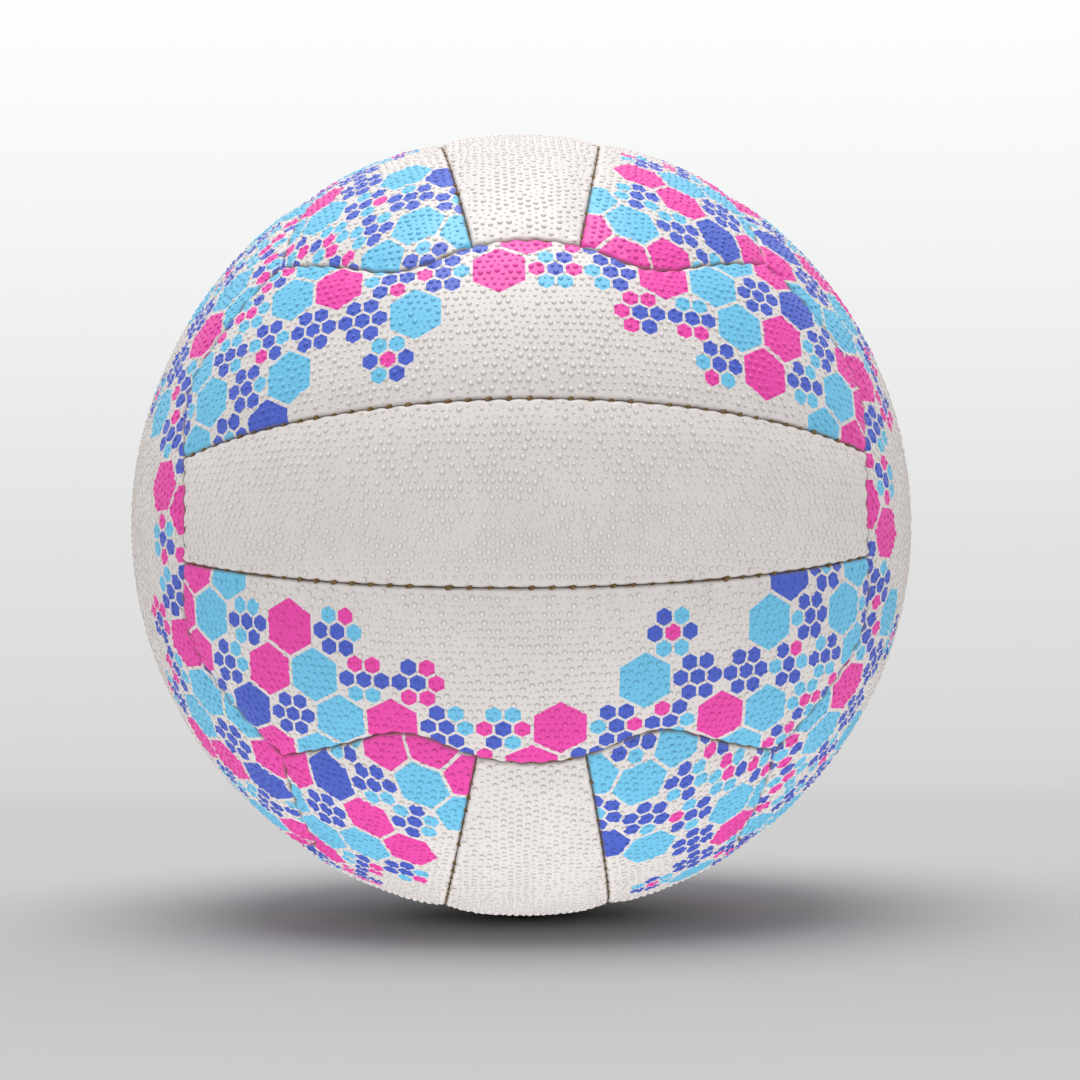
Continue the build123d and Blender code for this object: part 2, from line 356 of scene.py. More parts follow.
# moulded pebbles: low round domes of three sizes, evenly strewn, flat land between them
pebble = {
    "pitch": 1.92,
    "across": {"middle": (-24.0, 24.0), "outer": (-1.0, 54.0)},   # reach of the grid on a strip's flat map
    "jitter": 0.8,
    "radii": ((0.72, 0.86), (0.50, 0.62), (0.30, 0.40)),
    "shares": (0.40, 0.34, 0.26),
    "height": 0.5,
    "domePower": 2.8,
    "sides": 8,
    "middleRing": 0.62,
    "sink": 0.05,
    "spare": 0.07,
    "seamClear": 0.55,
    "apart": 1.25,
    "apartByRadius": 0.75,
    "neighbours": 2,
    "pushes": 40,
    "pushShare": 0.2,
    "valveClear": 5.6,
    "least": 0.22,
    # painted shade: shares of the grey at each dome's foot, at its middle ring and on the land between
    "footShadeShare": 1.0,
    "ringShadeShare": 0.25,
    "landShadeShare": 0.22,
}


def strewPebbles(strip, rng):
    # a jittered grid of places on the flat map, pushed apart until they lie evenly, large ones further
    # apart than small ones; radius limited by the neighbours
    pitch = pebble["pitch"]
    along = np.arange(-panel["length"] / 2 - pitch, panel["length"] / 2 + pitch, pitch)
    across = np.arange(*pebble["across"][strip], pitch)
    places = np.stack(np.meshgrid(along, across, indexing="ij"), axis=-1)
    places[:, ::2, 0] += pitch / 2
    places = places + (rng.random(places.shape) - 0.5) * pitch * pebble["jitter"]
    kind = rng.choice(len(pebble["radii"]), places.shape[:2], p=pebble["shares"])
    radius = np.array(pebble["radii"])[kind]
    radius = radius[..., 0] + (radius[..., 1] - radius[..., 0]) * rng.random(places.shape[:2])
    reach = range(-pebble["neighbours"], pebble["neighbours"] + 1)
    shifts = [(i, j) for i in reach for j in reach if (i, j) != (0, 0)]
    for step in range(pebble["pushes"] + 1):
        push = np.zeros_like(places)
        room = np.full(radius.shape, np.inf)
        for shift in shifts:
            apart = places - np.roll(places, shift, axis=(0, 1))
            distance = np.linalg.norm(apart, axis=-1) + 1e-6   # never zero, because it divides
            theirs = np.roll(radius, shift, axis=(0, 1))
            wanted = pebble["apart"] + pebble["apartByRadius"] * (radius + theirs)
            push += apart / distance[..., None] * np.clip(wanted - distance, 0, 1)[..., None]
            room = np.minimum(room, distance - theirs)
        if step < pebble["pushes"]:
            places = places + pebble["pushShare"] * push
    return places.reshape(-1, 2), np.minimum(radius, room - pebble["spare"]).ravel()


def pebbleDomes(strip, rng, aroundValve):
    # corners of the domes: rim, middle ring and top; rise = height x radius x (1 - share of the radius
    # to a power)
    places, radius = strewPebbles(strip, rng)
    pair = fromMap(strip, places)
    inside = insideStrip(strip, pair)
    pair, radius, places = pair[inside], radius[inside], places[inside]
    out = fromAngles(pair)
    distances = seamDistances(strip, out)
    radius = np.minimum(radius, distances.min(axis=-1) - seam["gap"] / 2 - pebble["seamClear"])
    keep = radius > pebble["least"]
    if aroundValve:
        keep &= np.linalg.norm(places, axis=-1) - radius > pebble["valveClear"]
    out, radius, distances, places = out[keep], radius[keep], distances[keep], places[keep]
    sideways = unit(np.cross(out, (0.0, 0.0, 1.0)))
    upwards = np.cross(sideways, out)
    turn = np.arange(pebble["sides"]) * 2 * math.pi / pebble["sides"]
    share = np.concatenate([np.ones_like(turn), np.full_like(turn, pebble["middleRing"]), [0.0]])
    turn = np.concatenate([turn, turn, [0.0]])
    dome = pebble["height"] * radius[:, None] * (1 - share ** pebble["domePower"])
    rise = np.where(share == 1, -pebble["sink"], dome)
    flat = np.cos(turn)[:, None] * sideways[:, None] + np.sin(turn)[:, None] * upwards[:, None]
    middle = out[:, None] * (ballRadius - edgeDrop(distances, places)[:, None] + rise)[..., None]
    corners = middle + flat * (share * radius[:, None])[..., None]
    return corners, distances.min(axis=-1)


def domeFaces(count, start):
    # per dome: a band of quads, a fan at the top and one face that closes the foot
    n = pebble["sides"]
    i = np.arange(n)
    after = np.roll(i, -1)
    base = start + np.arange(count)[:, None, None] * (2 * n + 1)
    band = np.stack([i, after, after + n, i + n], axis=1)
    fan = np.stack([i + n, after + n, np.full(n, 2 * n)], axis=1)
    return [(base + band).reshape(-1, 4), (base + fan).reshape(-1, 3), (base + i[::-1][None]).reshape(-1, n)]


def stripMaster(strip):
    # angles of a strip's two grids in its face's frame: the outer skin and the open inner wall
    lengthLines, widthLines = gridLines(panel["length"]), gridLines(panel["width"])
    inner = []
    for size in (panel["length"], panel["width"]):
        count = 2 * int(round(size / panel["innerStep"] / 2)) + 1
        inner.append(shares(np.linspace(panel["thickness"], size - panel["thickness"], count + 1), size))
    outer = stripPatch(strip, shares(lengthLines, panel["length"]), shares(widthLines, panel["width"]))
    distances = seamDistances(strip, fromAngles(outer))
    return {"outer": outer, "distances": distances, "inner": stripPatch(strip, *inner)}


def holeBlock(strip, grid):
    # the block of grid cells round the strip's middle that makes room for the valve hole
    rows, columns = grid.shape[:2]
    flat = np.abs(toMap(strip, grid))
    row = np.nonzero(flat[:, columns // 2, 0] < panel["valveBlock"])[0]
    column = np.nonzero(flat[rows // 2, :, 1] < panel["valveBlock"])[0]
    return (row[0], column[0]), (row[-1], column[-1])


def valveLip(strip, hole, innerHole, wallAt, start):
    # the skin's block narrows to a circle, then follows the lip down to the inner wall
    outer, inner = masters[strip]["outer"], masters[strip]["inner"]
    block, blockPlace = rim(*hole, outer.shape[1])
    innerBlock, innerPlace = rim(*innerHole, inner.shape[1])
    spoke = unit(toMap(strip, outer).reshape(-1, 2)[block])
    upper = block
    rings, bands = [], []
    for out, down in panel["valveLip"] + ((0.0, panel["thickness"]),):
        ring = spoke * (panel["valveRadius"] + out)
        rings.append(fromAngles(fromMap(strip, ring)) * (ballRadius - down))
        lower = start + np.arange(len(block))
        bands.append(loopQuads(lower, upper))
        upper, start = lower, start + len(block)
    joined = loopTriangles(upper, blockPlace, wallAt + innerBlock, innerPlace)[:, ::-1]
    return rings, bands, joined


def makePanel(name, strip, turn, rng, valve):
    # outer skin, wall of the turned edge, its foot and back, inner wall, all closed; then the pebbles
    master = masters[strip]
    outer, inner = master["outer"], master["inner"]
    skinRadius = ballRadius - edgeDrop(master["distances"], toMap(strip, outer))
    skin = (fromAngles(outer) * skinRadius[..., None]).reshape(-1, 3)
    wall = fromAngles(inner).reshape(-1, 3) * (ballRadius - panel["thickness"])
    size, innerSize = outer.shape[:2], inner.shape[:2]
    edge, edgePlace = rim((0, 0), (size[0] - 1, size[1] - 1), size[1])
    backEdge, backPlace = rim((0, 0), (innerSize[0] - 1, innerSize[1] - 1), innerSize[1])
    foot = unit(skin[edge]) * (ballRadius - panel["turnedDepth"])
    back = unit(wall[backEdge]) * (ballRadius - panel["turnedDepth"])
    footAt = len(skin) + np.arange(len(edge))
    backAt = footAt[-1] + 1 + np.arange(len(backEdge))
    wallAt = backAt[-1] + 1
    lipAt = wallAt + len(wall)
    parts = [skin, foot, back, wall]
    hole = innerHole = None
    shown, hidden = [], []
    if valve:
        hole, innerHole = holeBlock(strip, outer), holeBlock(strip, inner)
        rings, bands, joined = valveLip(strip, hole, innerHole, wallAt, lipAt)
        parts += rings
        shown += bands
        hidden.append(joined)
    shown.append(gridQuads(*size, hole))
    hidden += [
        loopQuads(edge, footAt),
        loopTriangles(footAt, edgePlace, backAt, backPlace),
        loopQuads(backAt, wallAt + backEdge),
        wallAt + gridQuads(*innerSize, innerHole)[:, ::-1],
    ]
    domes, domeDistance = pebbleDomes(strip, rng, valve)
    shellSize = sum(len(p) for p in parts)
    vertices = np.concatenate(parts + [domes.reshape(-1, 3)])
    onTop = domeFaces(len(domes), shellSize)
    piece = putMesh(name, vertices @ turn.T, shown + hidden + onTop)
    corner = np.arange(len(vertices) - shellSize) % domes.shape[1]
    atFoot, atRing = corner < pebble["sides"], corner < 2 * pebble["sides"]
    atRim = np.zeros(len(vertices), bool)
    atRim[footAt] = atRim[backAt] = True
    atRim[shellSize:] = atFoot
    putSharp(piece, atRim)
    # distance from the nearest seam for each vertex, which sets the painted crease shade and soil
    away = np.zeros(len(vertices))
    away[:len(skin)] = master["distances"].min(axis=-1).ravel()
    away[lipAt:shellSize] = panel["farFromSeam"]
    away[shellSize:] = np.repeat(domeDistance, domes.shape[1])
    putValues(piece, "seamDistance", away)
    # painted shade: full at each dome's foot, less at its middle ring, a little on the land, none at the top
    paintedShadeShare = np.full(len(vertices), pebble["landShadeShare"])
    paintedShadeShare[shellSize:] = np.select([atFoot, atRing], [pebble["footShadeShare"], pebble["ringShadeShare"]], 0.0)
    putValues(piece, "paintedShadeShare", paintedShadeShare)
    groups = [(f, group is hidden) for group in (shown, hidden, onTop) for f in group]
    below = np.concatenate([np.full(f.size, isHidden) for f, isHidden in groups])
    putMaps(piece, toMap(strip, angles(vertices)), below)
    return piece


def linear(hexColour):
    # sRGB hex to the linear colour that nodes take
    c = np.array([int(hexColour[k:k + 2], 16) for k in (1, 3, 5)]) / 255
    return (*np.where(c <= 0.04045, c / 12.92, ((c + 0.055) / 1.055) ** 2.4), 1.0)


def add(tree, kind, links=None, **settings):
    # one node with its settings; links are values or the sockets that feed its inputs
    made = tree.nodes.new("ShaderNode" + kind)
    for key, value in settings.items():
        setattr(made, key, value)
    for key, value in (links or {}).items():
        if isinstance(value, bpy.types.NodeSocket):
            tree.links.new(value, made.inputs[key])
        else:
            made.inputs[key].default_value = value
    return made


def calc(tree, operation, *values):
    # one step of arithmetic on numbers or sockets
    return add(tree, "Math", dict(enumerate(values)), operation=operation).outputs[0]


def vectorCalc(tree, operation, *values):
    # the same for places and directions
    made = add(tree, "VectorMath", dict(enumerate(values)), operation=operation)
    return made.outputs["Value" if operation in ("LENGTH", "DOT_PRODUCT") else "Vector"]


def noise(tree, place, sizeMm, detail):
    # soft clouds of one size
    made = add(tree, "TexNoise", {"Vector": place, "Scale": 1 / (sizeMm * mm), "Detail": detail})
    return made.outputs["Fac"]


def blend(tree, share, first, second, mode="MIX"):
    # from the first colour to the second; each is a hex colour, a linear one or a socket
    first, second = (linear(c) if isinstance(c, str) else c for c in (first, second))
    made = add(tree, "Mix", {"Factor": share, 6: first, 7: second}, data_type="RGBA", blend_type=mode)
    return made.outputs[2]


def setStops(ramp, stops):
    # places and colours of a colour ramp
    while len(ramp.elements) < len(stops):
        ramp.elements.new(1.0)
    for element, (place, colour) in zip(ramp.elements, stops):
        element.position = place
        element.color = linear(colour)


def newMaterial(name, roughness, ior):
    # a principled shader with its two constants, and the place on the piece that its textures go by
    material = bpy.data.materials.new(name)
    material.use_nodes = True
    tree = material.node_tree
    shader = tree.nodes["Principled BSDF"]
    shader.inputs["Roughness"].default_value = roughness
    shader.inputs["IOR"].default_value = ior
    place = add(tree, "TexCoord").outputs["Object"]
    return material, tree, shader, place


def putSurface(tree, shader, colour, height, strength, heightMm):
    # colour and fine relief of a material
    bump = add(tree, "Bump", {"Height": height, "Strength": strength, "Distance": heightMm * mm})
    tree.links.new(colour, shader.inputs["Base Color"])
    tree.links.new(bump.outputs[0], shader.inputs["Normal"])


# moulded white rubber: satin, faintly mottled; darker and browner down in the seams, partly a little soil and
# partly painted shade of the creases; painted shade round the foot of each pebble and on the land between
rubber = {
    "white": "#ede8e7",
    "shade": "#e3ddda",
    "creaseShadeAndSoil": "#857764",
    "paintedShade": "#c5beb8",   # painted shade: grey multiplied in round the foot of each pebble and, more lightly, on the land between them
    "pink": "#f640b2",
    "cyan": "#6fccf5",
    "blue": "#4661d2",
    "roughness": 0.41,
    "ior": 1.5,
    "mottleMm": 22.0,
    "mottleDetail": 4.0,
    "grainMm": 0.3,
    "grainDetail": 2.0,
    "grainStrength": 0.5,
    "grainHeightMm": 0.015,
    "creaseShadeAndSoilMm": (0.1, 0.8),   # painted crease shade and soil: all of it up to the first distance from a seam, none past the second
    "patchMm": 6.0,
    "patchDetail": 3.0,
    "patchRange": (0.35, 0.65),
    "patchShadeAndSoil": (0.25, 0.9),
    "tileMm": 14.0,
    "tileGapMm": 1.0,
    "smallPerTile": 3.0,
    "smallGapMm": 0.7,
    "smallShare": 0.46,
    "petalReach": 1.2,   # how far a flower's petals lie from its middle at most, in small tiles
    "colourStep": (0.31, 0.52, 0),   # steps of the colour along the lattice
    "numberStep": (17, 31, 0),   # keeps the small tiles of neighbouring flowers from repeating
    "wholeStops": ((0, "pink"), (0.42, "cyan"), (0.86, "blue")),
    "smallStops": ((0, "blue"), (0.64, "cyan"), (0.88, "pink")),
    "printFrom": 60.0,
    "printFull": 78.0,
    "printSlope": 2.1,
}


def honeycomb(tree, place):
    # nearest of two offset rectangular lattices gives a hexagon's centre; reach is 0.5 on its sides
    half = (0.5, math.sqrt(3) / 2, 0.5)
    back = tuple(-h for h in half)
    first = vectorCalc(tree, "WRAP", place, half, back)
    moved = vectorCalc(tree, "SUBTRACT", place, (*half[:2], 0))
    second = vectorCalc(tree, "WRAP", moved, half, back)
    firstLength = vectorCalc(tree, "LENGTH", first)
    secondLength = vectorCalc(tree, "LENGTH", second)
    nearer = calc(tree, "LESS_THAN", secondLength, firstLength)
    off = add(tree, "Mix", {"Factor": nearer, 4: first, 5: second}, data_type="VECTOR").outputs[1]
    centre = vectorCalc(tree, "SUBTRACT", place, off)
    step = vectorCalc(tree, "MULTIPLY_ADD", centre, (2, 2 / math.sqrt(3), 0), (0.5, 0.5, 0))
    number = vectorCalc(tree, "FLOOR", step)
    size = vectorCalc(tree, "ABSOLUTE", off)
    slant = vectorCalc(tree, "DOT_PRODUCT", size, (0.5, math.sqrt(3) / 2, 0))
    side = add(tree, "SeparateXYZ", {0: size}).outputs["X"]
    reach = calc(tree, "MAXIMUM", slant, side)
    return off, centre, number, reach


def pickColour(tree, chance, stops):
    # a ramp that doesn't blend: each colour holds up to the next stop
    ramp = add(tree, "ValToRGB", {"Fac": chance})
    ramp.color_ramp.interpolation = "CONSTANT"
    setStops(ramp.color_ramp, [(place, rubber[colour]) for place, colour in stops])
    return ramp.outputs["Color"]


def printedColour(tree, ground):
    # honeycomb tiles at the strip's ends: whole ones, and flowers of seven small tiles, thinning inwards
    uv = add(tree, "UVMap", uv_map="stripMap").outputs[0]
    size, perTile = rubber["tileMm"], rubber["smallPerTile"]
    place = add(tree, "VectorMath", {0: uv, "Scale": 1 / (size * mm)}, operation="SCALE").outputs[0]
    off, centre, number, reach = honeycomb(tree, place)
    parts = add(tree, "VectorMath", {0: off, "Scale": perTile}, operation="SCALE").outputs[0]
    smallCentre, smallNumber, smallReach = honeycomb(tree, parts)[1:]
    chance = add(tree, "TexWhiteNoise", {"Vector": number}, noise_dimensions="2D").outputs["Color"]
    mixed = vectorCalc(tree, "MULTIPLY_ADD", number, rubber["numberStep"], smallNumber)
    smallChance = add(tree, "TexWhiteNoise", {"Vector": mixed}, noise_dimensions="2D").outputs["Value"]
    # neighbours take different colours: the fraction of a steady step along each lattice direction
    steady = vectorCalc(tree, "DOT_PRODUCT", number, rubber["colourStep"])
    steady = calc(tree, "FRACT", steady)
    whole = pickColour(tree, steady, rubber["wholeStops"])
    bits = pickColour(tree, smallChance, rubber["smallStops"])
    # a tile's ink ends half a gap inside its sides
    wholeEnd, smallEnd = 0.5 - rubber["tileGapMm"] / size / 2, 0.5 - rubber["smallGapMm"] * perTile / size / 2
    inWhole = calc(tree, "LESS_THAN", reach, wholeEnd)
    inSmall = calc(tree, "LESS_THAN", smallReach, smallEnd)
    petal = vectorCalc(tree, "LENGTH", smallCentre)
    petal = calc(tree, "LESS_THAN", petal, rubber["petalReach"])
    inSmall = calc(tree, "MULTIPLY", inSmall, petal)
    kinds = add(tree, "SeparateXYZ", {0: chance}).outputs
    cut = calc(tree, "LESS_THAN", kinds["X"], rubber["smallShare"])
    tile = blend(tree, cut, whole, bits)
    inked = add(tree, "Mix", {"Factor": cut, 2: inWhole, 3: inSmall}, data_type="FLOAT").outputs[0]
    # the print reaches further in along the long seam, and thins out over its last tiles
    spot = vectorCalc(tree, "ABSOLUTE", centre)
    spot = add(tree, "SeparateXYZ", {0: spot}).outputs
    far = calc(tree, "MULTIPLY_ADD", spot["Y"], rubber["printSlope"], spot["X"])
    start, full = rubber["printFrom"] / size, rubber["printFull"] / size
    dense = add(tree, "MapRange", {"Value": far, 1: start, 2: full}).outputs[0]
    shown = calc(tree, "LESS_THAN", kinds["Y"], dense)
    shown = calc(tree, "MULTIPLY", shown, inked)
    return blend(tree, shown, ground, tile)


def mouldedRubber(name, printed):
    material, tree, shader, place = newMaterial(name, rubber["roughness"], rubber["ior"])
    cloud = noise(tree, place, rubber["mottleMm"], rubber["mottleDetail"])
    ground = blend(tree, cloud, rubber["white"], rubber["shade"])
    colour = printedColour(tree, ground) if printed else ground
    # painted shade round the foot of each pebble and on the land between, multiplied in by each vertex's
    # share
    paintedShadeShare = add(tree, "Attribute", attribute_name="paintedShadeShare").outputs["Fac"]
    colour = blend(tree, paintedShadeShare, colour, rubber["paintedShade"], "MULTIPLY")
    # painted shade of the seam creases, with a little soil: darker and browner near a seam, in patches
    away = add(tree, "Attribute", attribute_name="seamDistance").outputs["Fac"]
    near, end = rubber["creaseShadeAndSoilMm"]
    creaseShadeAndSoil = add(tree, "MapRange", {"Value": away, 1: near, 2: end, 3: 1.0, 4: 0.0}).outputs[0]
    patchy = noise(tree, place, rubber["patchMm"], rubber["patchDetail"])
    (low, high), (least, most) = rubber["patchRange"], rubber["patchShadeAndSoil"]
    patchy = add(tree, "MapRange", {"Value": patchy, 1: low, 2: high, 3: least, 4: most}).outputs[0]
    creaseShadeAndSoil = calc(tree, "MULTIPLY", creaseShadeAndSoil, patchy)
    colour = blend(tree, creaseShadeAndSoil, colour, rubber["creaseShadeAndSoil"])
    grain = noise(tree, place, rubber["grainMm"], rubber["grainDetail"])
    putSurface(tree, shader, colour, grain, rubber["grainStrength"], rubber["grainHeightMm"])
    return material


plainRubber = mouldedRubber("white rubber, moulded pebble grain", False)
printedRubber = mouldedRubber("white rubber, moulded pebble grain, screen print", True)

masters = {strip: stripMaster(strip) for strip in ("outer", "middle")}
rng = np.random.default_rng(panel["seed"])
triangleCount = 0
for faceName, face in faces.items():
    first, last = face["strips"]
    strips = ((first, "outer", False), ("middle", "middle", False), (last, "outer", True))
    for stripName, strip, turned in strips:
        node = f"{faceName}_{stripName}_panel"
        piece = makePanel(f"{node}_skin", strip, faceFrame(face, turned), rng, node == panel["valveNode"])
        piece.data.materials.append(plainRubber if strip == "middle" else printedRubber)
        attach(piece, "root")
        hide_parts(node)
        triangleCount += len(piece.data.loops) - 2 * len(piece.data.polygons)
print("panels made,", triangleCount, "triangles")

# hand stitches in mm: a short slanted length of thread over the gap, its ends down in the two edges
stitch = {
    "pitch": panel["puckerPitch"],
    "endMargin": 4.0,
    "linePoints": 6000,   # points on a seam line for its length
    "nudge": 0.01,   # step to either side that gives the seam's direction
    "radius": 0.52,
    "slant": 0.8,
    "reach": 0.75,
    "depth": {"strip": 1.45, "edge": 1.85},   # the seams between two faces hide their thread deeper
    "sag": 0.8,
    "rings": 7,
    "sides": 7,
    "jitter": 0.3,
    "depthJitter": 0.5,
    "radiusJitter": 0.3,
    "seed": 5,
}


def spaced(start, end):
    # even steps of about one stitch from start to end
    count = max(1, round((end - start) / stitch["pitch"]))
    return np.linspace(start, end, count + 1)


def longSeamPlaces():
    # even steps along the flat seam line, clear of its corners and of the strip seams that meet it
    fine = np.linspace(-cornerReach, cornerReach, stitch["linePoints"])
    length = np.concatenate([[0], np.cumsum(np.hypot(np.diff(fine), np.diff(flatSeam(fine))))])
    stops = np.interp([-cornerReach, -junction, junction, cornerReach], fine, length)
    margin = stitch["endMargin"]
    steps = np.concatenate([spaced(a + margin, b - margin) for a, b in zip(stops, stops[1:])])
    along = np.interp(steps, length, fine)
    return longSeam(along), unit(longSeam(along + stitch["nudge"]) - longSeam(along - stitch["nudge"]))


def stripSeamPlaces(side):
    # even steps of the length angle at the seam's own strip angle, clear of its two ends
    reach = junctionAngle * ballRadius - stitch["endMargin"]
    length = spaced(-reach, reach) / ballRadius
    pair = np.stack([length, np.full_like(length, side * halfAngle)], axis=-1)
    nudge = np.array([stitch["nudge"] / ballRadius, 0])
    return fromAngles(pair), unit(fromAngles(pair + nudge) - fromAngles(pair - nudge))


def makeStitches(name, depth, out, along, turn, rng):
    # a tube per stitch whose middle line is slant x s along, reach x s across and sag x s^2 down, with s
    # from -1 to 1; of its four draws, slant, depth and radius take one each
    count = len(out)
    across = np.cross(out, along)
    s = np.linspace(-1, 1, stitch["rings"])
    wobble = 1 + stitch["jitter"] * rng.standard_normal((count, 4))
    goAlong = stitch["slant"] * wobble[:, :1] * s
    goAcross = np.tile(stitch["reach"] * s, (count, 1))
    goDown = depth + stitch["depthJitter"] * (wobble[:, 1:2] - 1) + stitch["sag"] * s ** 2
    goOut = ballRadius - goDown
    line = goAlong[..., None] * along[:, None] + goAcross[..., None] * across[:, None]
    line = line + goOut[..., None] * out[:, None]
    ahead = unit(np.gradient(line, axis=1))
    level = unit(np.cross(ahead, out[:, None]))
    upright = np.cross(level, ahead)
    phi = np.arange(stitch["sides"]) * 2 * math.pi / stitch["sides"]
    radius = stitch["radius"] * (1 + stitch["radiusJitter"] * (wobble[:, 2] - 1))[:, None, None, None]
    ring = np.cos(phi)[:, None] * level[:, :, None] + np.sin(phi)[:, None] * upright[:, :, None]
    vertices = (line[:, :, None] + radius * ring).reshape(-1, 3)
    n, m = stitch["sides"], stitch["rings"]
    i, j = np.meshgrid(np.arange(m - 1), np.arange(n), indexing="ij")
    after = (j + 1) % n
    sides = np.stack([i * n + j, (i + 1) * n + j, (i + 1) * n + after, i * n + after], axis=-1).reshape(-1, 4)
    caps = np.stack([np.arange(n), (m - 1) * n + np.arange(n)[::-1]])
    base = np.arange(count)[:, None, None] * n * m
    return putMesh(name, vertices @ turn.T, [(base + sides).reshape(-1, 4), (base + caps).reshape(-1, n)])


# twisted, waxed thread: dull brown, with paler flecks where the plies come up
thread = {
    "dark": "#46320f",
    "pale": "#8c6c34",
    "roughness": 0.55,
    "ior": 1.45,
    "plyMm": 0.35,
    "plyDetail": 2.0,
    "plyRange": (0.35, 0.65),
    "plyStrength": 0.6,
    "plyHeightMm": 0.08,
}


def waxedThread():
    name = "polyester thread, twisted and waxed"
    material, tree, shader, place = newMaterial(name, thread["roughness"], thread["ior"])
    ply = noise(tree, place, thread["plyMm"], thread["plyDetail"])
    low, high = thread["plyRange"]
    spread = add(tree, "MapRange", {"Value": ply, 1: low, 2: high}).outputs[0]
    colour = blend(tree, spread, thread["dark"], thread["pale"])
    putSurface(tree, shader, colour, ply, thread["plyStrength"], thread["plyHeightMm"])
    return material


stitchThread = waxedThread()
rng = np.random.default_rng(stitch["seed"])
upper, lower = stripSeamPlaces(1), stripSeamPlaces(-1)
rows = {"strip": [np.concatenate(pair) for pair in zip(upper, lower)], "edge": longSeamPlaces()}
for faceName, face in faces.items():
    first, last = face["seams"]
    seams = (("strip", "strip", False), (first, "edge", False), (last, "edge", True))
    for seamName, row, turned in seams:
        node = f"{faceName}_{seamName}_stitches"
        piece = makeStitches(f"{node}_thread", stitch["depth"][row], *rows[row], faceFrame(face, turned), rng)
        piece.data.materials.append(stitchThread)
        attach(piece, "root")
        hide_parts(node)
print("stitches made,", len(rows["strip"][0]), "a face and", len(rows["edge"][0]), "a seam")

# inside pieces keep their solids and get their own finish: first the lining, plain woven polyester and
# cotton, whose two crossed sets of threads show as small pale squares
lining = {
    "pale": "#cdc8b8",
    "shade": "#a8a18d",
    "roughness": 0.85,
    "ior": 1.45,
    "threadMm": 0.8,
    "distortion": 0.4,
    "weaveStrength": 0.5,
    "weaveHeightMm": 0.15,
}


def wovenCloth():
    name = "polyester and cotton lining, plain woven"
    material, tree, shader, place = newMaterial(name, lining["roughness"], lining["ior"])
    scale = 1 / (lining["threadMm"] * mm) * 2 * math.pi / 20   # a Wave texture's own period is 2 pi / 20
    bands = [add(tree, "TexWave", {"Vector": place, "Scale": scale, "Distortion": lining["distortion"]},
                 bands_direction=d).outputs["Fac"] for d in ("X", "Z")]
    weave = calc(tree, "MULTIPLY", bands[0], bands[1])
    colour = blend(tree, weave, lining["shade"], lining["pale"])
    putSurface(tree, shader, colour, weave, lining["weaveStrength"], lining["weaveHeightMm"])
    return material


# smooth moulded rubber: dull, with faint cloudy patches where it left the mould
moulded = {
    "ior": 1.52,
    "cloudMm": 9.0,
    "cloudDetail": 5.0,
    "grainMm": 0.5,
    "grainDetail": 2.0,
    "grainStrength": 0.3,
    "grainHeightMm": 0.03,
}
bladder = {"colour": "#161616", "shade": "#232323", "roughness": 0.5}
valveBody = {"colour": "#d6d2cb", "shade": "#bdb8b0", "roughness": 0.5}
valveCore = {"colour": "#1d1c1b", "shade": "#2c2a28", "roughness": 0.45}


def smoothRubber(name, look):
    material, tree, shader, place = newMaterial(name, look["roughness"], moulded["ior"])
    cloud = noise(tree, place, moulded["cloudMm"], moulded["cloudDetail"])
    colour = blend(tree, cloud, look["colour"], look["shade"])
    grain = noise(tree, place, moulded["grainMm"], moulded["grainDetail"])
    putSurface(tree, shader, colour, grain, moulded["grainStrength"], moulded["grainHeightMm"])
    return material


liningCloth = wovenCloth()
finishes = {
    "bladder": smoothRubber("butyl rubber, moulded", bladder),
    "valve_body": smoothRubber("valve rubber, moulded white", valveBody),
    "valve_core": smoothRubber("core rubber, moulded black", valveCore),
}
finishes.update({name: liningCloth for name in nodes if name.endswith("_lining")})
for name, material in finishes.items():
    for slot in nodes[name].material_slots:
        slot.material = material
print("inside finished,", len(finishes), "pieces")

# camera fitted to the photo's outline and seams: distance in ball radii, focal length in pixels of 1080
shot = {
    "distance": 5.603,
    "focal": 2148.7,
    "pitch": -4.103,
    "yaw": 1.188,
    "roll": -0.578,
    "centre": (521.7, 524.9),
    "image": 1080.0,
    "sensor": 36.0,
    "clipStart": 0.01,
}


def turnAbout(axis, degrees):
    # a turn about one axis: cosine at the two other places of the diagonal, sine across them
    c, s = math.cos(math.radians(degrees)), math.sin(math.radians(degrees))
    i, j = [(1, 2), (2, 0), (0, 1)][axis]
    turn = np.eye(3)
    turn[i, i] = turn[j, j] = c
    turn[i, j], turn[j, i] = -s, s
    return turn


def putInView(name, data, right, up, back, place):
    # camera or lamp that faces away from its back axis; its own axes and place are the matrix's columns
    matrix = np.eye(4)
    matrix[:3] = np.stack([right, up, back, place], axis=1)
    made = bpy.data.objects.new(name, data)
    made.matrix_world = Matrix(matrix.tolist())
    scene.collection.objects.link(made)
    return made


def placeCamera():
    # rows of the turn are the camera's own right, forward and up, seen from the ball
    right, forward, up = turnAbout(1, shot["roll"]) @ turnAbout(0, shot["pitch"]) @ turnAbout(2, shot["yaw"])
    data = bpy.data.cameras.new("camera")
    data.sensor_width = shot["sensor"]
    data.lens = shot["focal"] / shot["image"] * shot["sensor"]
    data.shift_x = (shot["image"] / 2 - shot["centre"][0]) / shot["image"]
    data.shift_y = (shot["centre"][1] - shot["image"] / 2) / shot["image"]
    data.clip_start = shot["clipStart"]
    place = -forward * shot["distance"] * ballRadius * mm
    scene.camera = putInView("camera", data, right, up, -forward, place)


